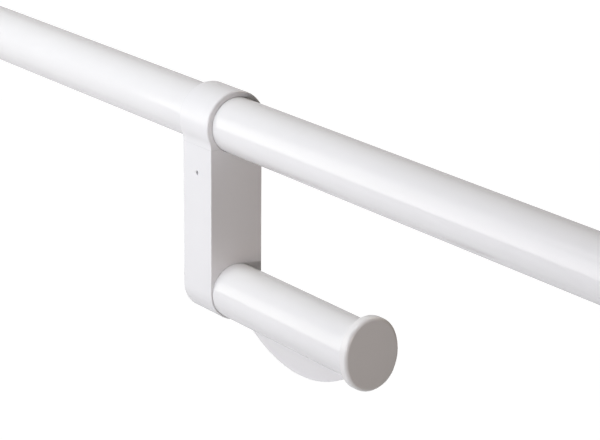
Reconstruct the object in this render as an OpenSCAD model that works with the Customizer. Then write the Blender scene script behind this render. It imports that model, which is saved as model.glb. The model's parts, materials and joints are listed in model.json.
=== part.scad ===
// Wall rail with two clamp supports and a clamp-on roll hanger.
// Frame: origin on the wall plane, at the middle of the four wall screw holes.
// +X runs along the rail, +Y points into the wall, +Z is up.

/* [Rail] */
// Outer diameter of the rail and of the roll spindle
rail_d = 33; // [32:0.5:34]
// Length of the rail over its end caps
rail_len = 1000; // [960:10:1600]
// Wall thickness of the nylon sleeve
sleeve_t = 2.5; // [2:0.5:3]
// Wall thickness of the steel core tube
core_t = 1.5; // [1:0.5:2]
// Distance from the wall to the axis of the rail
wall_off = 80; // [76:1:100]

/* [Clamps] */
// Outer diameter of the collar round the rail
collar_d = 40; // [39.5:0.5:42]
// Width of each clamp along the rail
clamp_w = 30; // [26:1:36]
// Depth of each clamp arm across the rail
clamp_d = 35; // [34.5:0.5:36]
// Distance of the joint between strap and arm from the rail's axis
seam = 13; // [12:0.5:14]
// Thickness of the split liner in the hanger's collar
liner_t = 0.9; // [0.6:0.1:1]

/* [Wall supports] */
// Distance between the two supports, centre to centre
support_pitch = 920; // [600:10:920]
// Diameter of the wall plate
plate_d = 66; // [64:1:68]
// Distance between the two wall screws of a plate
screw_pitch = 50; // [48:1:52]
// Diameter of the wall screw holes
screw_hole_d = 6.5; // [5:0.5:6.5]
// Diameter of the rosette that covers the wall plate
rosette_d = 72; // [72:1:80]

/* [Roll hanger] */
// Drop from the rail's axis to the spindle's axis
drop = 100; // [90:1:130]
// Length of the spindle, from the arm to the flange
spindle_len = 130; // [120:1:140]
// Height of the oval flange at the end of the spindle
flange_h = 42.6; // [40:0.2:46]
// Width of the oval flange, front to back
flange_w = 36.4; // [35:0.2:38]
// Radius of the flange's upper and lower ends
flange_end_r = 17.2; // [15:0.1:17.2]
// How far the flange's middle stands above the spindle's axis
flange_up = 0.8; // [0:0.1:1]
// Thickness of the flange
flange_t = 6; // [5:0.5:8]
// Diameter of the key hole in the front of a clamp
key_hole_d = 2.6; // [2.4:0.1:3]

/* [Brake] */
// Thickness of the brake leaf
leaf_t = 3; // [2:0.5:3]
// How far the brake leaf stands below the spindle
leaf_drop = 15; // [10:1:15]
// Radius of the curved edge of the leaf
leaf_r = 94; // [90:1:110]

/* [Hidden] */

$fn = 96;
e = 0.01;
rail_r = rail_d / 2;
bore_r = rail_r + 0.05;                    // bore of a clamp that grips the rail
lip_r = rail_r + 0.3;                      // lips that hold the liner in the hanger
liner_r = bore_r + liner_t;
groove_r = liner_r + 0.05;
liner_w = clamp_w - 6;
plate_t = 5;
cap_t = 4;                                 // rail end cap, outside the tube
core_r = rail_r - sleeve_t;
core_bore_r = core_r - core_t;
tang_w = 16;
tang_t = 3;
skin = 2.5;                                // wall in front of a tang
tang_out = clamp_d / 2 - skin - 0.1;       // outer face of a tang
tang_in = tang_out - tang_t;
tang_low = seam + 24;
key_z = seam + 16.3;                       // height of the strap screw below the rail's axis
slot_half = tang_in + 0.05;                // half depth of the slot for the steel core plate
core_half = slot_half - 0.1;
blend_r = 12;                              // hollow fillet from the collar into the cheeks
blend_y = clamp_d / 2 + blend_r - 0.02;    // its axis, set in a little so that it crosses both faces
blend_z = sqrt(pow(collar_d / 2 + blend_r - 0.03, 2) - pow(blend_y, 2));
blend_k = collar_d / 2 / (collar_d / 2 + blend_r - 0.03);
hub_bolt_r = 3;
seat = 1.5;                                // depth of the seat for the spindle's root
x0 = clamp_w / 2;                          // right-hand face of the hanger arm
tube_in_r = rail_r - sleeve_t;
leaf_x = 67;                               // lowest point of the leaf, from the arm's face
leaf_low = rail_r + leaf_drop;
pivot_u = 10;
pivot_z = -9.5;
tip_u = 119.5;
slot_end = 117.8;
spring_u = 62;
pad_z = -7;
seat_z = 11;

// ---------- helpers, in a clamp's own frame: rail axis along X at the origin, arm towards -Z ----------

module along_x(r, h, x = 0) { translate([x, 0, 0]) rotate([0, 90, 0]) cylinder(r = r, h = h, center = true); }
module from_x(r, x1, x2) { translate([x1, 0, 0]) rotate([0, 90, 0]) cylinder(r = r, h = x2 - x1); }
module along_y(r, y1, y2) { translate([0, y1, 0]) rotate([-90, 0, 0]) cylinder(r = r, h = y2 - y1); }
module cone_y(r1, r2, y1, y2) { translate([0, y1, 0]) rotate([-90, 0, 0]) cylinder(r1 = r1, r2 = r2, h = y2 - y1); }
module block(x1, x2, y1, y2, z1, z2) { translate([x1, y1, z1]) cube([x2 - x1, y2 - y1, z2 - z1]); }

// room for the rail, with a groove for the liner where the clamp has one
module rail_room(lined) {
    if (lined) {
        along_x(lip_r, clamp_w + 2);
        along_x(groove_r, liner_w + 0.4);
    } else along_x(bore_r, clamp_w + 2);
}

// collar with two straight cheeks and a tang behind each face of the arm
module strap(lined) {
    difference() {
        union() {
            intersection() {
                along_x(collar_d / 2, clamp_w);
                block(-clamp_w, clamp_w, -collar_d, collar_d, -seam, collar_d);
            }
            block(-clamp_w / 2, clamp_w / 2, -clamp_d / 2, clamp_d / 2, -seam, 0);
            difference() {
                block(-clamp_w / 2, clamp_w / 2, 0.1 - blend_k * blend_y, blend_k * blend_y - 0.1,
                    -blend_z, -blend_k * blend_z - 0.1);
                for (s = [-1, 1]) translate([0, s * blend_y, -blend_z]) along_x(blend_r, clamp_w + 2);
            }
            block(-tang_w / 2, tang_w / 2, -tang_out, -tang_in, -tang_low, -seam + 1);
            block(-tang_w / 2, tang_w / 2, tang_in, tang_out, -seam - 11, -seam + 1);
        }
        rail_room(lined);
        translate([0, 0, -key_z]) along_y(2.8, -tang_out - 1, -tang_in + 1);
    }
}

// top of an arm: saddle for the rail, pockets for the tangs, key hole
module arm_top_cuts(lined) {
    rail_room(lined);
    block(-tang_w / 2 - 0.2, tang_w / 2 + 0.2, -tang_out - 0.1, -tang_in + 0.1, -tang_low - 1, -seam + 1);
    block(-tang_w / 2 - 0.2, tang_w / 2 + 0.2, tang_in - 0.1, tang_out + 0.1, -seam - 12, -seam + 1);
    translate([0, 0, -key_z]) along_y(key_hole_d / 2, -clamp_d / 2 - 1, -tang_out);
}

module strap_insert() {
    translate([0, 0, -key_z]) difference() {
        along_y(2.8, -tang_out, -tang_in);
        along_y(2, -tang_out - 1, -tang_in + 1);
    }
}

// grub screw with a cone point and a hexagon socket towards the key hole
module grub() {
    translate([0, 0, -key_z]) difference() {
        union() {
            along_y(2, -tang_out + 0.1, -tang_in + 0.3);
            cone_y(2, 0.4, -tang_in + 0.3, -tang_in + 1.9);
        }
        translate([0, -tang_out, 0]) rotate([-90, 0, 0]) cylinder(r = 1.15, h = 1.9, $fn = 6);
    }
}

module dimple() { translate([0, 0, -key_z]) cone_y(2.35, 0.5, -tang_in - 0.1, -tang_in + 2.3); }

module at_hanger() { translate([0, -wall_off, 0]) children(); }
module at_support(s) { translate([s * support_pitch / 2, -wall_off, 0]) rotate([90, 0, 0]) children(); }
module at_spindle() { translate([x0, -wall_off, -drop]) children(); }

// ---------- rail ----------

module rail_sleeve() {
    color("white") at_hanger() difference() {
        along_x(rail_r, rail_len - 2 * cap_t);
        along_x(core_r, rail_len);
    }
}

module rail_core() {
    color("silver") at_hanger() difference() {
        along_x(core_r, rail_len - 2 * cap_t);
        along_x(core_bore_r, rail_len);
    }
}

// plug with a rounded head, as a turned profile
module end_cap() {
    rotate([0, 90, 0]) rotate_extrude() difference() {
        union() {
            translate([0, -12]) square([core_bore_r, 12 + e]);
            square([rail_r - 2, cap_t]);
            square([rail_r, cap_t - 2]);
            translate([rail_r - 2, cap_t - 2]) intersection() { circle(r = 2); square(3); }
        }
        translate([0, -13]) square([core_bore_r - 2.5, 13]);
    }
}

module rail_end_caps() {
    color("white") at_hanger() for (s = [0, 1])
        mirror([s, 0, 0]) translate([rail_len / 2 - cap_t, 0, 0]) end_cap();
}

// ---------- wall supports ----------

module support_arm(s) {
    at_support(s) difference() {
        block(-clamp_w / 2, clamp_w / 2, -clamp_d / 2, clamp_d / 2, -wall_off + plate_t, -seam);
        arm_top_cuts(false);
        dimple();
        for (v = [-1, 1]) translate([0, 9 * v, -wall_off + plate_t - 1]) cylinder(r = 4, h = 16);
    }
}
module support_arm_left() { color("white") support_arm(-1); }
module support_arm_right() { color("white") support_arm(1); }

module support_strap_left() { color("white") at_support(-1) strap(false); }
module support_strap_right() { color("white") at_support(1) strap(false); }

module wall_plate(s) {
    at_support(s) translate([0, 0, -wall_off]) difference() {
        cylinder(r = plate_d / 2, h = plate_t);
        for (v = [-1, 1]) {
            translate([0, v * screw_pitch / 2, -1]) cylinder(d = screw_hole_d, h = plate_t + 2);
            translate([0, v * screw_pitch / 2, plate_t - 2.2]) cylinder(r1 = screw_hole_d / 2, r2 = 5.45, h = 2.2 + e);
            translate([0, v * 9, -1]) cylinder(r = 3.2, h = plate_t + 2);
            translate([0, v * 9, -e]) cylinder(r1 = 6.2, r2 = 3.2, h = 3);
        }
    }
}
module wall_plate_left() { color("silver") wall_plate(-1); }
module wall_plate_right() { color("silver") wall_plate(1); }

// shallow dish with a rounded rim and an opening that fits round the arm
module rosette(s) {
    at_support(s) translate([0, 0, -wall_off + 0.3]) difference() {
        rotate_extrude() difference() {
            union() {
                square([rosette_d / 2, 9.5]);
                square([rosette_d / 2 - 2.5, 12]);
                translate([rosette_d / 2 - 2.5, 9.5]) intersection() { circle(r = 2.5); square(4); }
            }
            translate([0, -1]) square([rosette_d / 2 - 2, 11]);
        }
        block(-clamp_w / 2 - 0.3, clamp_w / 2 + 0.3, -clamp_d / 2 - 0.3, clamp_d / 2 + 0.3, 5, 20);
    }
}
module rosette_left() { color("white") rosette(-1); }
module rosette_right() { color("white") rosette(1); }

module arm_inserts() {
    color("gold") for (s = [-1, 1], v = [-1, 1])
        at_support(s) translate([0, 9 * v, -wall_off + plate_t]) difference() {
            cylinder(r = 4, h = 12);
            translate([0, 0, -1]) cylinder(r = 3, h = 14);
        }
}

module plate_screws() {
    color("silver") for (s = [-1, 1], v = [-1, 1])
        at_support(s) translate([0, 9 * v, -wall_off + 0.3]) difference() {
            union() {
                cylinder(r1 = 5.8, r2 = 3, h = 2.8);
                cylinder(r = 3, h = 15);
            }
            translate([0, 0, -1]) cylinder(r = 2.3, h = 3, $fn = 6);
        }
}

module strap_inserts() { color("gold") for (s = [-1, 1]) at_support(s) strap_insert(); }
module strap_screws() { color("silver") for (s = [-1, 1]) at_support(s) grub(); }

// ---------- roll hanger: clamp ----------

module clamp_liner() {
    color("dimgray") at_hanger() difference() {
        along_x(liner_r, liner_w);
        along_x(bore_r, liner_w + 2);
        block(-liner_w, liner_w, -1, 1, -liner_r - 1, 0);
    }
}

module hanger_strap() { color("white") at_hanger() strap(true); }
module hanger_strap_insert() { color("gold") at_hanger() strap_insert(); }
module hanger_strap_screw() { color("silver") at_hanger() grub(); }

module hanger_arm() {
    color("white") at_hanger() difference() {
        union() {
            block(-x0, x0, -clamp_d / 2, clamp_d / 2, -drop, -seam);
            translate([0, 0, -drop]) along_x(clamp_d / 2, clamp_w);
        }
        arm_top_cuts(true);
        // slot for the steel core plate
        block(-2.6, 2.6, -slot_half, slot_half, -drop, -seam + 1);
        translate([0, 0, -drop]) along_x(slot_half, 5.2);
        // spindle bolt, counterbore for its head, seat and dowel hole of the spindle
        translate([0, 0, -drop]) {
            along_x(hub_bolt_r + 0.2, clamp_w + 2);
            from_x(7.25, -x0 - 1, -4.5);
            from_x(rail_r + 0.2, x0 - seat, x0 + 1);
            translate([0, 0, 9]) from_x(1.5, x0 - 8, x0 + 1);
        }
    }
}

module hanger_core() {
    color("silver") at_hanger() difference() {
        union() {
            block(-2.5, 2.5, -core_half, core_half, -drop, -seam - 0.2);
            translate([0, 0, -drop]) along_x(core_half, 5);
        }
        along_x(groove_r + 0.4, 20);
        translate([0, 0, -drop]) along_x(hub_bolt_r + 0.2, 20);
        dimple();
    }
}

// ---------- roll hanger: spindle ----------

module spindle_tube() {
    color("white") at_spindle() difference() {
        from_x(rail_r, -seat, spindle_len);
        from_x(tube_in_r, -seat - 1, spindle_len + 1);
        block(12, slot_end, -leaf_t / 2 - 0.4, leaf_t / 2 + 0.4, -rail_r - 1, -rail_r + 6);
    }
}

// root plug: threaded for the bolt, forked for the brake leaf
module spindle_root() {
    color("silver") at_spindle() difference() {
        from_x(tube_in_r, -seat, 18);
        from_x(hub_bolt_r, -seat - 1, 16);
        translate([0, 0, 9]) from_x(1.5, -seat - 1, 6);
        block(5, 19, -leaf_t / 2 - 0.4, leaf_t / 2 + 0.4, -rail_r, -5.2);
        translate([pivot_u, 0, pivot_z]) along_y(1.5, -20, 20);
    }
}

module spindle_bolt() {
    color("silver") at_hanger() translate([0, 0, -drop]) difference() {
        union() {
            from_x(5, -12.1, -6.1);
            from_x(hub_bolt_r, -6.2, x0 + 14);
        }
        translate([-13, 0, 0]) rotate([0, 90, 0]) cylinder(r = 2.85, h = 4, $fn = 6);
    }
}

module spindle_washer() {
    color("silver") at_hanger() translate([0, 0, -drop]) difference() {
        from_x(7, -6.1, -4.5);
        from_x(hub_bolt_r + 0.2, -7, -4);
    }
}

module spindle_dowel() {
    color("silver") at_spindle() translate([0, 0, 9]) from_x(1.5, -7, 5);
}

module bolt_cover() {
    color("white") at_hanger() translate([0, 0, -drop]) from_x(7.25, -x0, -x0 + 2.2);
}

// oval plate of four tangent arcs, from x1 to x2, standing across the spindle
module oval_plate(x1, x2) {
    a = flange_w / 2;
    b = flange_h / 2;
    r = flange_end_r;
    s = (a * a + (b - r) * (b - r) - r * r) / (2 * (a - r));   // radius of the long sides
    t = (b - r) * s / (s - r);                                 // height where the arcs meet
    translate([0, 0, flange_up]) union() {
        intersection() {
            translate([0, s - a, 0]) from_x(s, x1, x2);
            translate([0, a - s, 0]) from_x(s, x1, x2);
            block(x1 - 1, x2 + 1, -a - 1, a + 1, -t, t);
        }
        for (m = [-1, 1]) intersection() {
            translate([0, 0, m * (b - r)]) from_x(r, x1, x2);
            block(x1 - 1, x2 + 1, -a - 1, a + 1, m > 0 ? t : -b - 1, m > 0 ? b + 1 : -t);
        }
    }
}

// oval flange with a hollow plug behind it, which goes into the tube of the spindle
module flange_cap() {
    color("white") at_spindle() translate([spindle_len, 0, 0]) union() {
        oval_plate(0, flange_t);
        difference() {
            from_x(tube_in_r, -5.5, e);
            from_x(tube_in_r - 3, -6, 0);
        }
    }
}

// ---------- roll hanger: brake ----------

module leaf_outline() {
    intersection() {
        translate([leaf_x, -leaf_low + leaf_r]) circle(r = leaf_r, $fn = 360);
        polygon([[pivot_u - 3, pivot_z - 2], [pivot_u, pivot_z + 2], [20, -8.5], [60, -8.5], [tip_u, -10.5],
            [tip_u, -tube_in_r + 0.3], [slot_end - 0.8, -tube_in_r + 0.3], [slot_end - 0.8, -60], [pivot_u - 3, -60]]);
    }
}

module brake_leaf() {
    color("white") at_spindle() difference() {
        union() {
            translate([0, leaf_t / 2, 0]) rotate([90, 0, 0]) linear_extrude(leaf_t) leaf_outline();
            translate([pivot_u, 0, pivot_z]) along_y(3.8, -leaf_t / 2, leaf_t / 2);
            translate([spring_u, 0, -9]) cylinder(r = 4.5, h = 9 + pad_z);
            translate([spring_u, 0, -9]) cylinder(r = 2.3, h = 9 + pad_z + 3.5);
        }
        translate([pivot_u, 0, pivot_z]) along_y(1.55, -5, 5);
    }
}

module brake_pin() {
    color("silver") at_spindle() translate([pivot_u, 0, pivot_z]) along_y(1.5, -8.4, 8.4);
}

// compression spring: closed ends, open middle
spring_r = 3.3;
wire = 0.9;
turns = 5.5;
function coil_z(t) = let (h = seat_z - pad_z - wire, s = min(max((t - 0.75) / (turns - 1.5), 0), 1)) pad_z + wire / 2 + h * s;
function coil_ring(t) = let (a = 360 * t) [for (k = [0:7]) let (b = 45 * k)
    [(spring_r + wire / 2 * cos(b)) * cos(a), (spring_r + wire / 2 * cos(b)) * sin(a), coil_z(t) + wire / 2 * sin(b)]];
module brake_spring() {
    n = 78;
    pts = [for (i = [0:n]) each coil_ring(turns * i / n)];
    faces = concat([[for (k = [0:7]) k]], [[for (k = [7:-1:0]) 8 * n + k]],
        [for (i = [0:n - 1], k = [0:7]) let (a = 8 * i + k, b = 8 * i + (k + 1) % 8) [a, a + 8, b + 8]],
        [for (i = [0:n - 1], k = [0:7]) let (a = 8 * i + k, b = 8 * i + (k + 1) % 8) [a, b + 8, b]]);
    color("silver") at_spindle() translate([spring_u, 0, 0]) polyhedron(pts, faces, convexity = 8);
}

module spring_seat() {
    color("gainsboro") at_spindle() union() {
        intersection() {
            from_x(tube_in_r, spring_u - 6, spring_u + 6);
            block(spring_u - 6, spring_u + 6, -6, 6, seat_z, rail_r);
        }
        translate([spring_u, 0, seat_z - 3]) cylinder(r = 2.3, h = 3.5);
    }
}

rail_sleeve();
rail_core();
rail_end_caps();
support_arm_left();
support_arm_right();
support_strap_left();
support_strap_right();
wall_plate_left();
wall_plate_right();
rosette_left();
rosette_right();
arm_inserts();
plate_screws();
strap_inserts();
strap_screws();
clamp_liner();
hanger_strap();
hanger_arm();
hanger_core();
hanger_strap_insert();
hanger_strap_screw();
spindle_tube();
spindle_root();
spindle_bolt();
spindle_washer();
spindle_dowel();
bolt_cover();
flange_cap();
brake_leaf();
brake_pin();
brake_spring();
spring_seat();
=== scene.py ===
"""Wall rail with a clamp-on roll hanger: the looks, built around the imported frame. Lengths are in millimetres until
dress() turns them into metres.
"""

import json
import math

import bmesh
import bpy
from mathutils import Matrix, Vector


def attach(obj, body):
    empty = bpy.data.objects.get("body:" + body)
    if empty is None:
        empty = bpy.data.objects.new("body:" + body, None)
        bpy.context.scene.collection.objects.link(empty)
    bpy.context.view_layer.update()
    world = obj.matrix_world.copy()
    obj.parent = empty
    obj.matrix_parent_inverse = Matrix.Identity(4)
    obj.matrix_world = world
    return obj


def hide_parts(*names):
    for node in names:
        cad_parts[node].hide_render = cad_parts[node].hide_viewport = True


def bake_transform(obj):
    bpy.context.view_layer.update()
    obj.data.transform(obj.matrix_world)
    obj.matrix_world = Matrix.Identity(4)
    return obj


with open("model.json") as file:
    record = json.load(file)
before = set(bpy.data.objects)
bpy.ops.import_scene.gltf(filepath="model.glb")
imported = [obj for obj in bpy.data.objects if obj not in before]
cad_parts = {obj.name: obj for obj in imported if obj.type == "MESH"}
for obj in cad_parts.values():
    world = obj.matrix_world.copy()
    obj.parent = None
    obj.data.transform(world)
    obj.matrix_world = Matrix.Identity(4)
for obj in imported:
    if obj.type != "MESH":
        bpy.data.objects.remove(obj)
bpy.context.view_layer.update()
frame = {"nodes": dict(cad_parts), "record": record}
nodes = frame["nodes"]
scene = bpy.context.scene

MM = 0.001
RAIL_R = 16.5
WALL = 80.0
DROP = 100.0
CLAMP_W = 30.0
CLAMP_D = 35.0
SEAM = 13.0
COLLAR_R = 20.0
SPINDLE_X = 15.0
SPINDLE_L = 130.0
PITCH = 920.0


# ------------------------------------------------------------------ materials

def new_material(name):
    m = bpy.data.materials.new(name)
    m.use_nodes = True
    t = m.node_tree
    t.nodes.clear()
    out = t.nodes.new("ShaderNodeOutputMaterial")
    p = t.nodes.new("ShaderNodeBsdfPrincipled")
    t.links.new(p.outputs["BSDF"], out.inputs["Surface"])
    co = t.nodes.new("ShaderNodeTexCoord")
    return m, t, p, co.outputs["Object"]


def noise(t, vec, scale, detail=3.0, rough=0.5):
    n = t.nodes.new("ShaderNodeTexNoise")
    n.inputs["Scale"].default_value = scale
    n.inputs["Detail"].default_value = detail
    n.inputs["Roughness"].default_value = rough
    t.links.new(vec, n.inputs["Vector"])
    return n.outputs["Fac"]


def stretch(t, vec, x, y, z):
    n = t.nodes.new("ShaderNodeMapping")
    n.inputs["Scale"].default_value = (x, y, z)
    t.links.new(vec, n.inputs["Vector"])
    return n.outputs["Vector"]


def ramp(t, fac, lo, hi, c0, c1):
    n = t.nodes.new("ShaderNodeMapRange")
    n.data_type = "FLOAT"
    n.inputs["From Min"].default_value = lo
    n.inputs["From Max"].default_value = hi
    n.inputs["To Min"].default_value = c0
    n.inputs["To Max"].default_value = c1
    t.links.new(fac, n.inputs["Value"])
    return n.outputs["Result"]


def two_tone(t, fac, a, b):
    n = t.nodes.new("ShaderNodeMix")
    n.data_type = "RGBA"
    n.inputs[6].default_value = (*a, 1)
    n.inputs[7].default_value = (*b, 1)
    t.links.new(fac, n.inputs[0])
    return n.outputs[2]


def bump(t, height, strength, distance, normal=None):
    n = t.nodes.new("ShaderNodeBump")
    n.inputs["Strength"].default_value = strength
    n.inputs["Distance"].default_value = distance
    t.links.new(height, n.inputs["Height"])
    if normal is not None:
        t.links.new(normal, n.inputs["Normal"])
    return n.outputs["Normal"]


def nylon(name, a, b, rough, spread, peel, grain=None):
    """Moulded or extruded nylon: a slow cloud in the colour, a fine orange peel in the gloss."""
    m, t, p, co = new_material(name)
    cloud = noise(t, co, 22.0, 2.0)
    t.links.new(two_tone(t, ramp(t, cloud, 0.3, 0.7, 0, 1), a, b), p.inputs["Base Color"])
    fine = noise(t, co, 420.0, 3.0)
    t.links.new(ramp(t, fine, 0.25, 0.75, rough - spread, rough + spread), p.inputs["Roughness"])
    n = bump(t, noise(t, co, 260.0, 2.0), peel, 0.00006)
    if grain:
        lines = noise(t, stretch(t, co, *grain), 900.0, 2.0)
        n = bump(t, lines, peel * 0.7, 0.00003, n)
    t.links.new(n, p.inputs["Normal"])
    p.inputs["IOR"].default_value = 1.53
    p.inputs["Specular IOR Level"].default_value = 0.5
    return m


def metal(name, a, b, rough, spread, grain, depth=0.00004, strength=0.35):
    m, t, p, co = new_material(name)
    lines = noise(t, stretch(t, co, *grain), 700.0, 3.0, 0.6)
    blot = noise(t, co, 60.0, 3.0)
    t.links.new(two_tone(t, ramp(t, blot, 0.35, 0.65, 0, 1), a, b), p.inputs["Base Color"])
    t.links.new(ramp(t, lines, 0.25, 0.75, rough - spread, rough + spread), p.inputs["Roughness"])
    t.links.new(bump(t, lines, strength, depth), p.inputs["Normal"])
    p.inputs["Metallic"].default_value = 1.0
    return m


MAT = {
    "rail_nylon": nylon("rail_nylon", (0.85, 0.85, 0.855), (0.865, 0.865, 0.87), 0.11, 0.015, 0.05, (0.02, 1, 1)),
    "white_nylon": nylon("white_nylon", (0.845, 0.845, 0.855), (0.86, 0.86, 0.87), 0.2, 0.02, 0.08),
    "cap_nylon": nylon("cap_nylon", (0.835, 0.83, 0.825), (0.85, 0.845, 0.84), 0.2, 0.02, 0.08),
    "core_steel": metal("core_steel", (0.55, 0.56, 0.58), (0.62, 0.62, 0.63), 0.32, 0.08, (0.03, 1, 1)),
    "zinc_steel": metal("zinc_steel", (0.57, 0.58, 0.61), (0.65, 0.65, 0.66), 0.34, 0.06, (1, 1, 1)),
    "root_alloy": metal("root_alloy", (0.7, 0.7, 0.71), (0.77, 0.77, 0.78), 0.36, 0.06, (8, 0.4, 0.4)),
    "brass": metal("brass", (0.72, 0.55, 0.27), (0.78, 0.62, 0.34), 0.28, 0.06, (1, 1, 1)),
    "spring_steel": metal("spring_steel", (0.42, 0.42, 0.44), (0.5, 0.5, 0.5), 0.3, 0.05, (1, 1, 1)),
}


def soft_plastic():
    m, t, p, co = new_material("liner_plastic")
    t.links.new(two_tone(t, noise(t, co, 90.0, 3.0), (0.2, 0.2, 0.205), (0.26, 0.26, 0.265)), p.inputs["Base Color"])
    t.links.new(ramp(t, noise(t, co, 600.0, 2.0), 0.3, 0.7, 0.5, 0.62), p.inputs["Roughness"])
    t.links.new(bump(t, noise(t, co, 1500.0, 2.0), 0.25, 0.00005), p.inputs["Normal"])
    return m


MAT["liner_plastic"] = soft_plastic()

slots = {m["slot"] for m in frame["record"]["materials"]}
assert slots == set(MAT), sorted(slots ^ set(MAT))
for n, o in nodes.items():
    slot = o.data.materials[0].name.split(".")[0]
    o.data.materials[0] = MAT[slot]


# ------------------------------------------------------------------ camera

YAW, PITCH_DOWN, ROLL = 0.9703487, 0.2930695, 0.0077379
EYE = Vector((1.2179522, -0.8591157, 0.3757534))
FOCAL_PX = 2577.6145


def make_camera():
    right = Vector((math.cos(YAW), math.sin(YAW), 0))
    ahead = Vector((-math.sin(YAW) * math.cos(PITCH_DOWN), math.cos(YAW) * math.cos(PITCH_DOWN), -math.sin(PITCH_DOWN)))
    up = right.cross(ahead)
    r = math.cos(ROLL) * right + math.sin(ROLL) * up
    u = -math.sin(ROLL) * right + math.cos(ROLL) * up
    cam = bpy.data.cameras.new("camera")
    cam.sensor_width = 36.0
    cam.lens = FOCAL_PX / 600.0 * 36.0
    cam.clip_start = 0.05
    cam.clip_end = 60.0
    o = bpy.data.objects.new("camera", cam)
    scene.collection.objects.link(o)
    o.matrix_world = Matrix((
        (r.x, u.x, -ahead.x, EYE.x),
        (r.y, u.y, -ahead.y, EYE.y),
        (r.z, u.z, -ahead.z, EYE.z),
        (0, 0, 0, 1),
    ))
    scene.camera = o


make_camera()


# ------------------------------------------------------------------ stage and light

def make_floor():
    """A pale floor and a pale dome over it that glow by emission rather than lamp light: painted brightness, whitest in
    a halo at the far left. Only the camera sees them, so they don't tint or shade the object.
    """
    m, t, p, co = new_material("floor")
    t.links.new(two_tone(t, noise(t, co, 1.5, 2.0), (0.24, 0.24, 0.24), (0.25, 0.25, 0.25)), p.inputs["Base Color"])
    p.inputs["Roughness"].default_value = 0.9
    p.inputs["Specular IOR Level"].default_value = 0.0
    way = t.nodes.new("ShaderNodeVectorMath")
    way.operation = "NORMALIZE"
    t.links.new(t.nodes.new("ShaderNodeNewGeometry").outputs["Position"], way.inputs[0])
    dot = t.nodes.new("ShaderNodeVectorMath")
    dot.operation = "DOT_PRODUCT"
    t.links.new(way.outputs["Vector"], dot.inputs[0])
    dot.inputs[1].default_value = (-0.79, 0.54, -0.29)
    # painted glow: the emission colour runs from grey to white, brightest in a halo around one direction from the
    # middle, standing in for a lit backdrop
    t.links.new(two_tone(t, ramp(t, dot.outputs["Value"], 0.93, 0.978, 0, 1), (0.7, 0.7, 0.705), (1, 1, 1)), p.inputs["Emission Color"])
    p.inputs["Emission Strength"].default_value = 1.0
    if hasattr(m, "cycles"):
        m.cycles.emission_sampling = "NONE"
    for name in ("floor", "backdrop"):
        bm = bmesh.new()
        if name == "floor":
            bmesh.ops.create_circle(bm, cap_ends=True, radius=16.0, segments=128)
        else:
            bmesh.ops.create_uvsphere(bm, u_segments=128, v_segments=64, radius=16.0)
            bmesh.ops.delete(bm, geom=[v for v in bm.verts if v.co.z < -0.01], context="VERTS")
        me = bpy.data.meshes.new(name)
        bm.to_mesh(me)
        bm.free()
        me.materials.append(m)
        o = bpy.data.objects.new(name, me)
        o.location = (0, 0, -4.0)
        scene.collection.objects.link(o)
        o.visible_diffuse = False
        o.visible_glossy = False
        o.visible_shadow = False


make_floor()


def area(name, place, aim, w, h, power, colour=(1, 1, 1), spread=180.0):
    l = bpy.data.lights.new(name, "AREA")
    l.shape = "RECTANGLE"
    l.size = w
    l.size_y = h
    l.energy = power
    l.color = colour
    l.spread = math.radians(spread)
    o = bpy.data.objects.new(name, l)
    scene.collection.objects.link(o)
    o.location = place
    o.rotation_euler = (Vector(aim) - Vector(place)).to_track_quat("-Z", "Y").to_euler()
    o.visible_camera = False
    return o


LOBES = [
    # direction, power of the cosine, strength, colour
    ((-1, 0, 0), 2, 0.849, (1.0, 0.963, 0.993)),
    ((0, 0, -1), 2, 0.632, (0.962, 0.998, 1.0)),
]


def make_world():
    w = bpy.data.worlds.new("world")
    w.use_nodes = True
    t = w.node_tree
    t.nodes.clear()
    out = t.nodes.new("ShaderNodeOutputWorld")
    bg = t.nodes.new("ShaderNodeBackground")
    t.links.new(bg.outputs[0], out.inputs[0])
    co = t.nodes.new("ShaderNodeTexCoord").outputs["Generated"]
    total = None
    for d, k, strength, colour in LOBES:
        dot = t.nodes.new("ShaderNodeVectorMath")
        dot.operation = "DOT_PRODUCT"
        t.links.new(co, dot.inputs[0])
        dot.inputs[1].default_value = d
        pos = t.nodes.new("ShaderNodeMath")
        pos.operation = "MAXIMUM"
        t.links.new(dot.outputs["Value"], pos.inputs[0])
        pos.inputs[1].default_value = 0.0
        pw = t.nodes.new("ShaderNodeMath")
        pw.operation = "POWER"
        t.links.new(pos.outputs[0], pw.inputs[0])
        pw.inputs[1].default_value = k
        mul = t.nodes.new("ShaderNodeVectorMath")
        mul.operation = "MULTIPLY_ADD"
        t.links.new(pw.outputs[0], mul.inputs[0])
        mul.inputs[1].default_value = [strength * v for v in colour]
        if total is None:
            mul.inputs[2].default_value = (0, 0, 0)
        else:
            t.links.new(total, mul.inputs[2])
        total = mul.outputs[0]
    t.links.new(total, bg.inputs["Color"])
    scene.world = w


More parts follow.
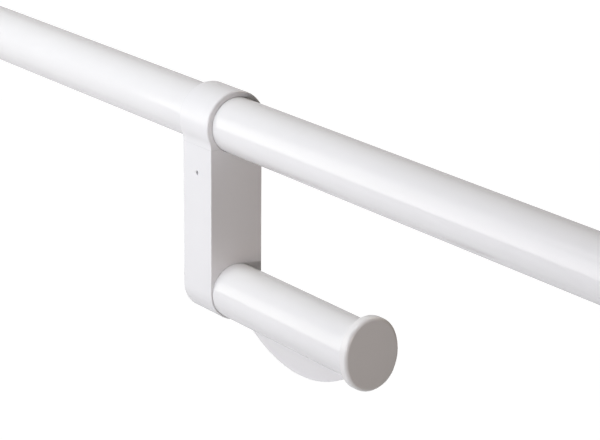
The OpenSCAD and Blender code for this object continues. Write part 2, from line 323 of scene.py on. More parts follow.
LIGHTS = [
    # name, place, aim, width, height, watts, colour
    ("panel_10", (-1.0, -0.88, -0.01), (-1.159, 0.12, -0.01), 0.61, 0.3, 0.9, (1.0, 0.996, 0.899)),
    ("panel_11", (-1.0, -0.88, 0.32), (-1.159, 0.12, 0.32), 0.61, 0.36, 0.82, (0.996, 1.0, 0.895)),
    ("panel_12", (-1.0, -0.88, 0.75), (-1.159, 0.12, 0.75), 0.61, 0.5, 0.8, (1.0, 0.965, 0.892)),
    ("panel_13", (-1.0, -0.88, 1.35), (-1.159, 0.12, 1.35), 0.61, 0.7, 1.67, (1.0, 0.903, 0.94)),
    ("panel_20", (-0.45, -0.793, -0.01), (-0.609, 0.207, -0.01), 0.51, 0.3, 0.96, (1.0, 0.961, 0.939)),
    ("panel_21", (-0.45, -0.793, 0.32), (-0.609, 0.207, 0.32), 0.51, 0.36, 0.79, (1.0, 0.998, 0.987)),
    ("panel_23", (-0.45, -0.793, 1.35), (-0.609, 0.207, 1.35), 0.51, 0.7, 8.05, (0.832, 0.971, 1.0)),
    ("panel_30", (0.05, -0.713, -0.01), (-0.109, 0.287, -0.01), 0.51, 0.3, 0.91, (0.994, 0.98, 1.0)),
    ("panel_32", (0.05, -0.713, 0.75), (-0.109, 0.287, 0.75), 0.51, 0.5, 1.3, (0.955, 0.984, 1.0)),
    ("panel_33", (0.05, -0.713, 1.35), (-0.109, 0.287, 1.35), 0.51, 0.7, 8.47, (0.942, 0.965, 1.0)),
    ("low_front", (0, -1.2, -1.0), (0, -0.08, -0.03), 1.5, 1.5, 2.18, (0.837, 0.94, 1.0)),
    ("low_key", (1.0, -1.812, 0.05), (0.0, -0.08, -0.08), 0.6, 0.1, 9.0, (1.0, 0.94, 0.994)),
    ("side_strip", (1.992, -0.254, -0.043), (0.0, -0.08, -0.08), 0.6, 0.1, 5.22, (1.0, 0.819, 0.693)),
    ("top", (0, 0, 2), (0, -0.08, -0.03), 1.3, 1.3, 2.47, (1.0, 0.823, 0.74)),
    ("top_front", (0, -1.3, 1.8), (0, -0.08, -0.03), 1.3, 1.3, 3.4, (0.85, 0.921, 1.0)),
    ("top_rear", (0, 1.3, 1.6), (0, -0.08, -0.03), 1.3, 1.3, 9.68, (1.0, 0.839, 0.69)),
    # the far side, which the camera doesn't see
    ("rear_fill", (-0.6, 1.5, -1.1), (-0.3, 0, 0), 1.2, 1.2, 8.0, (1, 1, 1)),
]

make_world()
for row in LIGHTS:
    area(*row)

scene.view_settings.view_transform = "Standard"
scene.view_settings.look = "None"
scene.view_settings.exposure = 0.0
scene.view_settings.gamma = 1.0


# ------------------------------------------------------------------ mesh helpers

def arc(cx, cy, r, a0, a1, n):
    """n + 1 points on a circle from angle a0 to a1, in degrees."""
    return [
        (cx + r * math.cos(math.radians(a0 + (a1 - a0) * i / n)), cy + r * math.sin(math.radians(a0 + (a1 - a0) * i / n)))
        for i in range(n + 1)
    ]


def disc(r, n=72, cx=0.0, cy=0.0):
    return arc(cx, cy, r, 0, 360 * (n - 1) / n, n - 1)


PUT = {
    "x": lambda a, p: (a, p[0], p[1]),
    "y": lambda a, p: (p[0], a, p[1]),
    "z": lambda a, p: (p[0], p[1], a),
}


def shown(bm, name="solid"):
    bmesh.ops.recalc_face_normals(bm, faces=bm.faces)
    me = bpy.data.meshes.new(name)
    bm.to_mesh(me)
    bm.free()
    o = bpy.data.objects.new(name, me)
    scene.collection.objects.link(o)
    return o


def prism(outline, a, b, axis):
    """A closed outline drawn out along an axis, from a to b."""
    bm = bmesh.new()
    put = PUT[axis]
    lo = [bm.verts.new(put(a, p)) for p in outline]
    hi = [bm.verts.new(put(b, p)) for p in outline]
    n = len(outline)
    bm.faces.new(lo)
    bm.faces.new(hi)
    for i in range(n):
        bm.faces.new((lo[i], lo[(i + 1) % n], hi[(i + 1) % n], hi[i]))
    return shown(bm)


def brick(x1, x2, y1, y2, z1, z2):
    return prism([(x1, y1), (x2, y1), (x2, y2), (x1, y2)], z1, z2, "z")


def rod(r, a, b, axis, cx=0.0, cy=0.0, n=72):
    return prism(disc(r, n, cx, cy), a, b, axis)


def turned(profile, axis="x", n=96, cx=0.0, cy=0.0, ring=False):
    """A profile of (along, radius) points turned about an axis. ring: the profile closes on itself."""
    bm = bmesh.new()
    put = PUT[axis]
    rows = []
    for a, r in profile:
        if r < 1e-6:
            rows.append([bm.verts.new(put(a, (cx, cy)))] * n)
        else:
            rows.append([bm.verts.new(put(a, p)) for p in disc(r, n, cx, cy)])
    pairs = list(zip(rows, rows[1:]))
    if ring:
        pairs.append((rows[-1], rows[0]))
    for p, q in pairs:
        for i in range(n):
            j = (i + 1) % n
            face = []
            for v in (p[i], p[j], q[j], q[i]):
                if v not in face:
                    face.append(v)
            if len(face) > 2:
                bm.faces.new(face)
    return shown(bm)


def stacked(rings, axis="x", n=48, cx=0.0, cy=0.0):
    """Rings of n points each, given as functions of the angle in degrees that return (along, radius). Both ends close flat."""
    bm = bmesh.new()
    put = PUT[axis]
    rows = []
    for f in rings:
        row = []
        for i in range(n):
            t = 360.0 * i / n
            a, r = f(t)
            row.append(bm.verts.new(put(a, (cx + r * math.cos(math.radians(t)), cy + r * math.sin(math.radians(t))))))
        rows.append(row)
    bm.faces.new(rows[0])
    bm.faces.new(rows[-1])
    for p, q in zip(rows, rows[1:]):
        for i in range(n):
            j = (i + 1) % n
            bm.faces.new((p[i], p[j], q[j], q[i]))
    return shown(bm)


def flat(a, r):
    return lambda t: (a, r)


def hexagon(a, apothem):
    return lambda t: (a, apothem / math.cos(math.radians((t + 30.0) % 60.0 - 30.0)))


def thread(a, r, pitch, depth):
    """A ring of a helical thread: its radius follows the angle."""
    def f(t):
        s = (a / pitch - t / 360.0) % 1.0
        return a, r - depth * abs(2.0 * s - 1.0)
    return f


def threads(a0, a1, r, pitch, depth):
    n = max(2, int(round(abs(a1 - a0) / pitch * 6)))
    return [thread(a0 + (a1 - a0) * i / n, r, pitch, depth) for i in range(n + 1)]


def carve(base, adds=(), cuts=()):
    for k, (op, c) in enumerate([("UNION", a) for a in adds] + [("DIFFERENCE", c) for c in cuts]):
        m = base.modifiers.new(f"b{k}", "BOOLEAN")
        m.operation = op
        m.object = c
        m.solver = "EXACT"
    dg = bpy.context.evaluated_depsgraph_get()
    me = bpy.data.meshes.new_from_object(base.evaluated_get(dg))
    base.modifiers.clear()
    base.data = me
    for c in list(adds) + list(cuts):
        bpy.data.objects.remove(c)
    return base


def joined(objects):
    """Several closed shells as one mesh."""
    bm = bmesh.new()
    for o in objects:
        bm.from_mesh(o.data)
        bpy.data.objects.remove(o)
    return shown(bm)


def moved(o, matrix):
    o.data.transform(matrix)
    return o


def fix_radii(o, sharp):
    """Makes the radii part of the mesh, then marks its crisp edges again, because those that end on a radius are made anew."""
    bpy.context.view_layer.update()
    me = bpy.data.meshes.new_from_object(o.evaluated_get(bpy.context.evaluated_depsgraph_get()))
    name = o.data.name
    old, o.data = o.data, me
    o.modifiers.clear()
    bpy.data.meshes.remove(old)
    me.name = name
    bm = bmesh.new()
    bm.from_mesh(me)
    for e in bm.edges:
        e.smooth = not (len(e.link_faces) == 2 and math.degrees(e.calc_face_angle(0.0)) > sharp)
    bm.to_mesh(me)
    bm.free()


def dress(o, name, body, slot, stands_for, rule=None, place=None, sharp=32.0, segments=3, weighted=True):
    """Gives a solid its edge radii, normals, material and body. rule(middle, normal, normal) is an edge's radius in mm, or 0 for a crisp edge."""
    bm = bmesh.new()
    bm.from_mesh(o.data)
    bmesh.ops.remove_doubles(bm, verts=bm.verts, dist=2e-4)
    bmesh.ops.dissolve_degenerate(bm, edges=bm.edges, dist=1e-4)
    bmesh.ops.dissolve_limit(bm, angle_limit=math.radians(0.1), verts=bm.verts, edges=bm.edges)
    bmesh.ops.recalc_face_normals(bm, faces=bm.faces)
    weight = bm.edges.layers.float.new("bevel_weight_edge")
    widest = 0.0
    chosen = []
    for f in bm.faces:
        f.smooth = True
        f.material_index = 0
    for e in bm.edges:
        e.smooth = True
        if len(e.link_faces) == 2 and math.degrees(e.calc_face_angle(0.0)) > sharp:
            mid = (e.verts[0].co + e.verts[1].co) / 2
            w = rule(mid, e.link_faces[0].normal, e.link_faces[1].normal) if rule else 0.0
            if w > 0:
                chosen.append((e, w))
                widest = max(widest, w)
            else:
                e.smooth = False
    for e, w in chosen:
        e[weight] = w / widest
    bm.to_mesh(o.data)
    bm.free()
    o.data.transform(Matrix.Scale(MM, 4) @ (place or Matrix()))
    o.name = name
    o.data.name = name
    o.data.materials.clear()
    o.data.materials.append(MAT[slot])
    if widest:
        m = o.modifiers.new("edges", "BEVEL")
        m.limit_method = "WEIGHT"
        m.width = widest * MM
        m.segments = segments
        m.use_clamp_overlap = False
        m.loop_slide = True
        fix_radii(o, max(sharp, 95.0 / segments))
    if weighted:
        w = o.modifiers.new("normals", "WEIGHTED_NORMAL")
        w.keep_sharp = True
        w.weight = 50
    if body:
        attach(o, body)
    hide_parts(*stands_for)
    return o


def near(a, b, tol=0.02):
    return abs(a - b) < tol


# ------------------------------------------------------------------ clamps

LIP_R, BORE_R, GROOVE_R = 16.7, 16.55, 17.5
HAIRLINE = 0.09
TANG_IN, TANG_OUT, TANG_LOW = 11.9, 14.9, 37.0
KEY_Z = 29.3
HALF_D, HALF_W = CLAMP_D / 2, CLAMP_W / 2
FILLET = 12.0


def strap_outline():
    cy = HALF_D + FILLET
    cz = -math.sqrt((COLLAR_R + FILLET) ** 2 - cy**2)
    a = math.degrees(math.atan2(-cz, -cy))
    right = arc(cy, cz, FILLET, 180, a, 8)
    top = arc(0, 0, COLLAR_R, a - 180, 360 - a, 96)[1:-1]
    left = [(-y, z) for y, z in reversed(right)]
    low = HAIRLINE - SEAM
    return [(HALF_D, low)] + right + top + left + [(-HALF_D, low)]


def strap_rule(p, m, n):
    r = math.hypot(p.y, p.z)
    if near(p.z, HAIRLINE - SEAM):
        return 0.0
    if near(abs(p.x), HALF_W):
        if r > 17.3:
            up = min(max((p.z + SEAM) / 7.0, 0.0), 1.0)
            return 0.45 + 0.9 * up if p.x > 0 else 0.25 + 0.15 * up
        return 0.12
    if p.z < -SEAM and abs(p.x) < 8.1:
        return 0.2 if near(p.z, -TANG_LOW) or near(p.z, -SEAM - 11) else 0.0
    return 0.0


def clamp_strap(name, lined, body, slot, node, place):
    r = LIP_R if lined else BORE_R
    cuts = [rod(r, -HALF_W - 1, HALF_W + 1, "x", n=120)]
    if lined:
        cuts.append(rod(GROOVE_R, -12.2, 12.2, "x", n=120))
    cuts.append(rod(2.8, -TANG_OUT - 1, -TANG_IN + 1, "y", 0, -KEY_Z, 32))
    o = carve(
        prism(strap_outline(), -HALF_W, HALF_W, "x"),
        [brick(-8, 8, -TANG_OUT, -TANG_IN, -TANG_LOW, -SEAM + 1), brick(-8, 8, TANG_IN, TANG_OUT, -SEAM - 11, -SEAM + 1)],
        cuts,
    )
    return dress(o, name, body, slot, [node], strap_rule, place)


def top_cuts(lined):
    r = LIP_R if lined else BORE_R
    cuts = [rod(r, -HALF_W - 1, HALF_W + 1, "x", n=120)]
    if lined:
        cuts.append(rod(GROOVE_R, -12.2, 12.2, "x", n=120))
    cuts += [
        brick(-8.2, 8.2, -TANG_OUT - 0.1, -TANG_IN + 0.1, -TANG_LOW - 1, -SEAM + 1),
        brick(-8.2, 8.2, TANG_IN - 0.1, TANG_OUT + 0.1, -SEAM - 12, -SEAM + 1),
        rod(1.3, -HALF_D - 1, -TANG_OUT, "y", 0, -KEY_Z, 32),
    ]
    return cuts


def arm_rule(p, m, n):
    r = math.hypot(p.y, p.z)
    foot = math.hypot(p.y, p.z + DROP)
    if near(p.z, -SEAM):
        return 0.0
    if near(p.y, -HALF_D) and math.hypot(p.x, p.z + KEY_Z) < 1.6:
        return 0.22
    if near(abs(p.x), HALF_W):
        if near(abs(p.y), HALF_D) or (foot > 17.3 and p.z < -DROP):
            return 0.6 if p.x > 0 else 0.35
        if r < 17.0:
            return 0.12
        if p.x > 0 and near(foot, 16.6, 0.06):
            return 0.12
        if p.x < 0 and near(foot, 7.25, 0.06):
            return 0.25
    return 0.0


def hanger_arm():
    outline = [(HALF_D, -SEAM), (-HALF_D, -SEAM)] + arc(0, -DROP, HALF_D, 180, 360, 60)
    cuts = top_cuts(True) + [
        brick(-2.6, 2.6, -11.95, 11.95, -DROP, -SEAM + 1),
        rod(11.95, -2.6, 2.6, "x", 0, -DROP, 64),
        rod(3.2, -HALF_W - 1, HALF_W + 1, "x", 0, -DROP, 40),
        rod(7.25, -HALF_W - 1, -4.5, "x", 0, -DROP, 64),
        rod(16.6, HALF_W - 1.5, HALF_W + 1, "x", 0, -DROP, 120),
        rod(1.5, 7, HALF_W + 1, "x", 0, -DROP + 9, 24),
    ]
    o = carve(prism(outline, -HALF_W, HALF_W, "x"), [], cuts)
    return dress(o, "hanger_arm_body", "hanger", "white_nylon", ["hanger_arm"], arm_rule, Matrix.Translation((0, -WALL, 0)))


def support_rule(p, m, n):
    r = math.hypot(p.y, p.z)
    if near(p.z, -SEAM):
        return 0.0
    if near(p.y, -HALF_D) and math.hypot(p.x, p.z + KEY_Z) < 1.6:
        return 0.22
    if near(abs(p.x), HALF_W):
        return 0.45 if near(abs(p.y), HALF_D) else (0.12 if r < 17.0 else 0.0)
    return 0.0


def at_support(s):
    return Matrix.Translation((s * SUPPORT_X, -WALL, 0)) @ Matrix.Rotation(math.radians(90), 4, "X")


def support_arm(side, s):
    outline = [(HALF_D, -SEAM), (-HALF_D, -SEAM), (-HALF_D, -WALL + 5), (HALF_D, -WALL + 5)]
    cuts = top_cuts(False) + [rod(4, -WALL + 4, -WALL + 20, "z", 0, 9 * v, 40) for v in (-1, 1)]
    cuts.append(turned([(-TANG_IN - 0.1, 0), (-TANG_IN - 0.1, 2.35), (-TANG_IN + 2.3, 0.5), (-TANG_IN + 2.3, 0)], "y", 32, 0, -KEY_Z))
    o = carve(prism(outline, -HALF_W, HALF_W, "x"), [], cuts)
    return dress(o, f"support_arm_{side}_body", "rail", "white_nylon", [f"support_arm_{side}"], support_rule, at_support(s))


def rosette(side, s):
    f = 36.0
    profile = [(0, 34), (0, f - 0.3), (0.3, f), (9.5, f)]
    profile += [(9.5 + 2.5 * math.sin(math.radians(a)), f - 2.5 + 2.5 * math.cos(math.radians(a))) for a in (11, 22, 34, 45, 56, 68, 79, 90)]
    profile += [(12, 0), (10, 0), (10, 33.4), (9.82, 33.82), (9.4, 34)]
    o = turned(profile, "z", 128, ring=True)
    o = carve(o, [], [brick(-HALF_W - 0.3, HALF_W + 0.3, -HALF_D - 0.3, HALF_D + 0.3, 5, 20)])

    def rule(p, m, n):
        inside = abs(p.x) < 15.5 and abs(p.y) < 18.0
        return 0.35 if inside and p.z > 11.9 else 0.0

    place = at_support(s) @ Matrix.Translation((0, 0, -WALL + 0.3))
    return dress(o, f"rosette_{side}_body", f"cover_{side}", "white_nylon", [f"rosette_{side}"], rule, place)


def wall_plate(side, s):
    cuts = []
    for v in (-1, 1):
        cuts.append(turned([(-1, 0), (-1, 3.25), (2.8, 3.25), (5.01, 5.45), (6, 5.45), (6, 0)], "z", 48, 0, v * 25))
        cuts.append(turned([(-1, 0), (-1, 6.2), (0, 6.2), (3, 3.2), (6, 3.2), (6, 0)], "z", 48, 0, v * 9))
    o = carve(rod(33, 0, 5, "z", n=128), [], cuts)

    def rule(p, m, n):
        return 0.5 if math.hypot(p.x, p.y) > 32 else (0.12 if near(p.z, 5) else 0.0)

    return dress(o, f"wall_plate_{side}_body", "rail", "zinc_steel", [f"wall_plate_{side}"], rule, at_support(s) @ Matrix.Translation((0, 0, -WALL)))


# ------------------------------------------------------------------ rail

SUPPORT_X = PITCH / 2
RAIL_L = 1000.0


def rail_tube():
    h = RAIL_L / 2 - 4
    r0, r1 = 14.0, RAIL_R
    profile = [(-h, r0), (-h, r1 - 0.25), (-h + 0.07, r1 - 0.07), (-h + 0.25, r1)]
    profile += [(-h + 0.25 + (2 * h - 0.5) * i / 40, r1) for i in range(1, 40)]
    profile += [(h - 0.25, r1), (h - 0.07, r1 - 0.07), (h, r1 - 0.25), (h, r0)]
    o = turned(profile, "x", 128, ring=True)
    return dress(o, "rail_sleeve_tube", "rail", "rail_nylon", ["rail_sleeve"], None, Matrix.Translation((0, -WALL, 0)))


def end_caps():
    r = RAIL_R
    profile = [(-12, 10), (-12, 12.2), (-11.7, 12.5), (-0.01, 12.5), (-0.01, r - 0.25), (0.06, r - 0.07), (0.25, r)]
    profile += [(2 + 2 * math.sin(math.radians(a)), r - 2 + 2 * math.cos(math.radians(a))) for a in (0, 10, 20, 30, 40, 50, 60, 70, 80, 90)]
    profile += [(4, 0), (0, 0), (0, 10)]
    body = turned(profile, "x", 96, ring=True)
    right = moved(body, Matrix.Translation((RAIL_L / 2 - 4, 0, 0)))
    left = right.copy()
    left.data = right.data.copy()
    scene.collection.objects.link(left)
    left.data.transform(Matrix.Scale(-1, 4, (1, 0, 0)))
    o = joined([right, left])
    return dress(o, "rail_end_cap_plugs", "rail", "white_nylon", ["rail_end_caps"], None, Matrix.Translation((0, -WALL, 0)))


# ------------------------------------------------------------------ spindle

def spindle_place():
    return Matrix.Translation((SPINDLE_X, -WALL, -DROP))


def spindle_tube():
    """Tube with a slot for the leaf along its underside, as a grid of rings with the slot's cells left out."""
    r0, r1, half = 14.0, RAIL_R, 1.9
    bm = bmesh.new()
    stations = [-1.5, 0, 4, 8, 12] + [12 + (117.8 - 12) * i / 30 for i in range(1, 31)] + [121, 125, 130]
    lip1 = math.degrees(math.asin(half / r1))
    free = 96
    a1 = [-90 + lip1 + (360 - 2 * lip1) * i / free for i in range(free + 1)]
    lip0 = math.degrees(math.asin(half / r0))
    a0 = [-90 + lip0 + (360 - 2 * lip0) * i / free for i in range(free + 1)]
    slot1 = [-90 - lip1 + 2 * lip1 * i / 4 for i in range(1, 4)]
    slot0 = [-90 - lip0 + 2 * lip0 * i / 4 for i in range(1, 4)]

    def ring(x, r, angles):
        return [bm.verts.new((x, r * math.cos(math.radians(a)), r * math.sin(math.radians(a)))) for a in angles]

    outer = [ring(x, r1, a1 + slot1) for x in stations]
    inner = [ring(x, r0, a0 + slot0) for x in stations]
    n = free + 4
    open_at = {k for k in range(len(stations) - 1) if 12 <= (stations[k] + stations[k + 1]) / 2 <= 117.8}
    for k in range(len(stations) - 1):
        for i in range(n):
            j = (i + 1) % n
            if k in open_at and i >= free:
                continue
            bm.faces.new((outer[k][i], outer[k][j], outer[k + 1][j], outer[k + 1][i]))
            bm.faces.new((inner[k][i], inner[k + 1][i], inner[k + 1][j], inner[k][j]))
        if k in open_at:
            for i in (0, free):
                bm.faces.new((outer[k][i], outer[k + 1][i], inner[k + 1][i], inner[k][i]))
    for k in (0, len(stations) - 1):
        for i in range(n):
            j = (i + 1) % n
            bm.faces.new((outer[k][i], outer[k][j], inner[k][j], inner[k][i]))
    first, last = min(open_at), max(open_at) + 1
    for k in (first, last):
        for i in range(free, n):
            j = (i + 1) % n
            bm.faces.new((outer[k][i], outer[k][j], inner[k][j], inner[k][i]))
    loose = [v for v in bm.verts if not v.link_faces]
    bmesh.ops.delete(bm, geom=loose, context="VERTS")
    o = shown(bm)

    return dress(o, "spindle_tube_body", "hanger", "rail_nylon", ["spindle_tube"], None, spindle_place())


def oval(inset, n=24):
    """Outline of the flange as (y, z) points: four arcs, drawn in by inset. The centres of the arcs stay where they are."""
    a, b, r, up = 18.2, 21.3, 17.2, 0.8
    s = (a * a + (b - r) ** 2 - r * r) / (2 * (a - r))
    t = math.degrees(math.atan2(b - r, s - a))
    out = []
    for c, q, lo, hi, k in (
        ((a - s, up), s, -t, t, n // 2),
        ((0, up + b - r), r, t, 180 - t, 2 * n),
        ((s - a, up), s, 180 - t, 180 + t, n // 2),
        ((0, up + r - b), r, 180 + t, 360 - t, 2 * n),
    ):
        out += arc(*c, q - inset, lo, hi, k)[:-1]
    return out


def flange_cap():
    w, face, back = 6.0, 2.2, 0.4
    rings = [(back * (1 - math.cos(math.radians(a))), back * (1 - math.sin(math.radians(a)))) for a in range(0, 91, 30)]
    rings += [(w - face + face * math.sin(math.radians(a)), face * (1 - math.cos(math.radians(a)))) for a in range(0, 91, 9)]
    bm = bmesh.new()
    rows = [[bm.verts.new((x, *p)) for p in oval(i)] for x, i in rings]
    bm.faces.new(rows[0])
    bm.faces.new(rows[-1])
    n = len(rows[0])
    for p, q in zip(rows, rows[1:]):
        for i in range(n):
            j = (i + 1) % n
            bm.faces.new((p[i], p[j], q[j], q[i]))
    plug = turned([(-5.5, 11), (-5.5, 13.7), (-5.2, 14), (0.3, 14), (0.3, 11)], "x", 96, ring=True)
    o = carve(shown(bm), [plug])
    return dress(o, "flange_cap_body", "hanger", "cap_nylon", ["flange_cap"], None, spindle_place() @ Matrix.Translation((SPINDLE_L, 0, 0)), sharp=40.0)


def leaf_outline():
    cx, cz, r = 67.0, -RAIL_R - 15 + 94.0, 94.0
    a0 = math.degrees(math.atan2(-10.42 - cz, 7.8 - cx))
    a1 = math.degrees(math.atan2(-math.sqrt(r * r - 50.0**2), 50.0))
    if a0 > 0:
        a0 -= 360
    return arc(cx, cz, r, a0, a1, 90) + [(117, -13.7), (119.5, -13.7), (119.5, -10.5), (60, -8.5), (20, -8.5), (10, -7.5)]


def brake_leaf():
    o = carve(
        prism(leaf_outline(), -1.5, 1.5, "y"),
        [rod(3.8, -1.5, 1.5, "y", 10, -9.5, 48), rod(4.5, -9, -7, "z", 62, 0, 48), rod(2.3, -9, -3.5, "z", 62, 0, 32)],
        [rod(1.55, -5, 5, "y", 10, -9.5, 32)],
    )

    def rule(p, m, n):
        if near(abs(p.y), 1.5) and p.z < -10.6 and p.x > 13.5:
            return 0.22
        return 0.2 if near(abs(p.y), 1.5) and p.z < -8 and math.hypot(p.x - 10, p.z + 9.5) > 2 else 0.0

    return dress(o, "brake_leaf_body", "brake", "white_nylon", ["brake_leaf"], rule, spindle_place())


def bolt_cover():
    p = [(-15, 0), (-15, 4), (-15, 6.9), (-14.92, 7.12), (-14.7, 7.25), (-12.9, 7.25), (-12.8, 7.15), (-12.8, 0)]
    o = turned(p, "x", 64)
    return dress(o, "bolt_cover_plug", "hanger", "white_nylon", ["bolt_cover"], None, Matrix.Translation((0, -WALL, -DROP)))


# ------------------------------------------------------------------ metal and small parts

def grub_screw(frame_place):
    y0 = -TANG_OUT + 0.1
    y1 = -TANG_IN + 0.3
    rings = [hexagon(y0 + 1.8, 0.6), hexagon(y0 + 1.8, 1.15), hexagon(y0 + 0.05, 1.15), hexagon(y0, 1.2), flat(y0, 1.75)]
    rings += threads(y0 + 0.25, y1 - 0.05, 2.0, 0.7, 0.28)
    rings += [flat(y1, 1.7), flat(y1 + 1.6, 0.4)]
    return moved(stacked(rings, "y", 48, 0, -KEY_Z), frame_place)


def plate_screw(v, place):
    z0 = -WALL + 0.3
    rings = [hexagon(z0 + 1.9, 1.0), hexagon(z0 + 1.9, 2.3), hexagon(z0 + 0.1, 2.3), hexagon(z0, 2.42), flat(z0, 5.55), flat(z0 + 0.15, 5.75), flat(z0 + 0.4, 5.4), flat(z0 + 2.8, 2.98)]
    rings += threads(z0 + 3.0, z0 + 14.3, 3.0, 1.0, 0.35)
    rings += [flat(z0 + 14.9, 2.3), flat(z0 + 15, 2.1)]
    return moved(stacked(rings, "z", 48, 0, 9 * v), place)


def strap_insert(place):
    y0, y1 = -TANG_OUT, -TANG_IN
    n = 96

    def knurl(a, r, d):
        return lambda t: (a, r - d * (0.5 + 0.5 * math.cos(math.radians(t * 24))))

    rings = [flat(y0, 2.0), flat(y0, 2.55), knurl(y0 + 0.2, 2.78, 0.0), knurl(y0 + 0.5, 2.78, 0.22), knurl(y1 - 0.5, 2.78, 0.22), flat(y1 - 0.2, 2.75), flat(y1, 2.55), flat(y1, 2.0)]
    return sleeve(rings, threads_in(y1, y0, 2.0, 0.7), "y", n, 0, -KEY_Z, place)


def threads_in(a0, a1, r, pitch):
    n = max(2, int(round(abs(a1 - a0) / pitch * 6)))
    out = []
    for i in range(1, n):
        out.append(thread(a0 + (a1 - a0) * i / n, r + 0.22, pitch, 0.2))
    return out


def sleeve(outer, bore, axis, n, cx, cy, place):
    """A bush: rings over the outside and back through the bore, closed on themselves."""
    bm = bmesh.new()
    put = PUT[axis]
    rows = []
    for f in outer + bore:
        row = []
        for i in range(n):
            t = 360.0 * i / n
            a, r = f(t)
            row.append(bm.verts.new(put(a, (cx + r * math.cos(math.radians(t)), cy + r * math.sin(math.radians(t))))))
        rows.append(row)
    for p, q in zip(rows, rows[1:] + rows[:1]):
        for i in range(n):
            j = (i + 1) % n
            bm.faces.new((p[i], p[j], q[j], q[i]))
    return moved(shown(bm), place)


def arm_insert(v, place):
    z0, z1 = -WALL + 5, -WALL + 17

    def knurl(a, r, d):
        return lambda t: (a, r - d * (0.5 + 0.5 * math.cos(math.radians(t * 24))))

    rings = [flat(z0, 3.0), flat(z0, 3.75), flat(z0 + 0.25, 3.98)]
    for a, b in ((z0 + 1.2, z0 + 5.0), (z0 + 7.0, z0 + 10.8)):
        rings += [knurl(a - 0.3, 3.98, 0.0), knurl(a, 3.98, 0.3), knurl(b, 3.98, 0.3), knurl(b + 0.3, 3.98, 0.0)]
        if a < z0 + 3:
            rings += [flat(b + 0.5, 3.6), flat(b + 1.4, 3.6)]
    rings += [flat(z1 - 0.25, 3.98), flat(z1, 3.75), flat(z1, 3.0)]
    return sleeve(rings, threads_in(z1, z0, 3.0, 1.0), "z", 96, 0, 9 * v, place)


def spindle_bolt():
    rings = [hexagon(-9.3, 1.4), hexagon(-9.3, 2.85), hexagon(-11.9, 2.85), hexagon(-12.1, 3.0), flat(-12.1, 4.4), flat(-11.95, 4.8), flat(-11.6, 5.0)]
    rings += [lambda t, a=a: (a, 5.0 - 0.12 * (0.5 + 0.5 * math.cos(math.radians(t * 24)))) for a in (-11.3, -6.9)]
    rings += [flat(-6.6, 5.0), flat(-6.1, 5.0), flat(-6.1, 3.0), flat(12.0, 3.0), flat(13.0, 2.9)]
    rings += threads(13.2, 28.3, 3.0, 1.0, 0.35)
    rings += [flat(28.8, 2.4), flat(29, 2.1)]
    o = stacked(rings, "x", 96)
    return dress(o, "spindle_bolt_screw", "hanger", "zinc_steel", ["spindle_bolt"], None, Matrix.Translation((0, -WALL, -DROP)), sharp=40, weighted=False)


def small_metal():
    hang = Matrix.Translation((0, -WALL, 0))
    drop = Matrix.Translation((0, -WALL, -DROP))
    sides = (("left", -1), ("right", 1))
    dress(grub_screw(Matrix()), "hanger_strap_screw_grub", "hanger", "zinc_steel", ["hanger_strap_screw"], None, hang, sharp=40, weighted=False)
    dress(joined([grub_screw(at_support(s)) for _, s in sides]), "strap_screw_grubs", "rail", "zinc_steel", ["strap_screws"], None, None, sharp=40, weighted=False)
    dress(joined([plate_screw(v, at_support(s)) for _, s in sides for v in (-1, 1)]), "plate_screw_set", "rail", "zinc_steel", ["plate_screws"], None, None, sharp=40, weighted=False)
    dress(strap_insert(Matrix()), "hanger_strap_insert_bush", "hanger", "brass", ["hanger_strap_insert"], None, hang, sharp=50, weighted=False)
    dress(joined([strap_insert(at_support(s)) for _, s in sides]), "strap_insert_bushes", "rail", "brass", ["strap_inserts"], None, None, sharp=50, weighted=False)
    dress(joined([arm_insert(v, at_support(s)) for _, s in sides for v in (-1, 1)]), "arm_insert_bushes", "rail", "brass", ["arm_inserts"], None, None, sharp=50, weighted=False)
    washer = turned([(-6.1, 3.2), (-6.1, 6.8), (-5.98, 6.95), (-5.8, 7.0), (-4.8, 7.0), (-4.62, 6.95), (-4.5, 6.8), (-4.5, 3.2)], "x", 64, ring=True)
    dress(washer, "spindle_washer_ring", "hanger", "zinc_steel", ["spindle_washer"], None, drop)
    dowel = turned([(-7, 0), (-7, 1.1), (-6.6, 1.5), (4.6, 1.5), (5, 1.1), (5, 0)], "x", 32)
    dress(dowel, "spindle_dowel_pin", "hanger", "zinc_steel", ["spindle_dowel"], None, spindle_place() @ Matrix.Translation((0, 0, 9)))
    pin = turned([(-8.4, 0), (-8.4, 1.15), (-8.05, 1.5), (8.05, 1.5), (8.4, 1.15), (8.4, 0)], "y", 32, 10, -9.5)
    dress(pin, "brake_pin_rod", "hanger", "zinc_steel", ["brake_pin"], None, spindle_place())


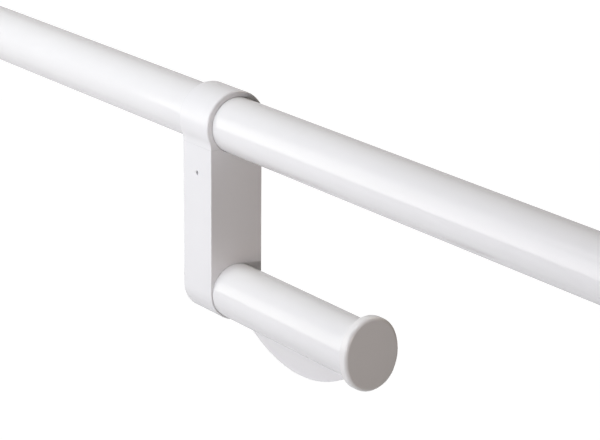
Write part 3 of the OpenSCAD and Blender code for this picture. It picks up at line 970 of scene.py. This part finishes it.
def brake_spring():
    """Wire swept along the coil, with closed ends, in the same place as its CAD solid."""
    r, wire, turns, z0, z1 = 3.3, 0.9, 5.5, -7.0, 11.0
    n, k = 264, 14
    bm = bmesh.new()
    rows = []
    for i in range(n + 1):
        t = turns * i / n
        s = min(max((t - 0.75) / (turns - 1.5), 0.0), 1.0)
        z = z0 + wire / 2 + (z1 - z0 - wire) * s
        a = 2 * math.pi * t
        row = []
        for j in range(k):
            b = 2 * math.pi * j / k
            q = r + wire / 2 * math.cos(b)
            row.append(bm.verts.new((62 + q * math.cos(a), q * math.sin(a), z + wire / 2 * math.sin(b))))
        rows.append(row)
    bm.faces.new(rows[0])
    bm.faces.new(rows[-1])
    for p, q in zip(rows, rows[1:]):
        for j in range(k):
            m = (j + 1) % k
            bm.faces.new((p[j], p[m], q[m], q[j]))
    o = dress(shown(bm), "brake_spring_coil", None, "spring_steel", ["brake_spring"], None, spindle_place(), sharp=60, weighted=False)
    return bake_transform(o)


def clamp_liner():
    r0, r1, half = 16.55, 17.45, 1.0
    g1 = math.degrees(math.asin(half / r1))
    g0 = math.degrees(math.asin(half / r0))
    outline = arc(0, 0, r1, -90 + g1, 270 - g1, 110) + arc(0, 0, r0, 270 - g0, -90 + g0, 110)
    o = prism(outline, -12, 12, "x")

    def rule(p, m, n):
        return 0.15 if near(abs(p.x), 12) else 0.0

    return dress(o, "clamp_liner_shell", "liner", "liner_plastic", ["clamp_liner"], rule, Matrix.Translation((0, -WALL, 0)), segments=2)


def build():
    clamp_strap("hanger_strap_collar", True, "hanger", "white_nylon", "hanger_strap", Matrix.Translation((0, -WALL, 0)))
    hanger_arm()
    rail_tube()
    end_caps()
    spindle_tube()
    flange_cap()
    brake_leaf()
    bolt_cover()
    brake_spring()
    clamp_liner()
    for side, s in (("left", -1), ("right", 1)):
        clamp_strap(f"support_strap_{side}_collar", False, "rail", "white_nylon", f"support_strap_{side}", at_support(s))
        support_arm(side, s)
        rosette(side, s)
        wall_plate(side, s)
    spindle_bolt()
    small_metal()


build()


# ------------------------------------------------------------------ close

bpy.context.view_layer.update()
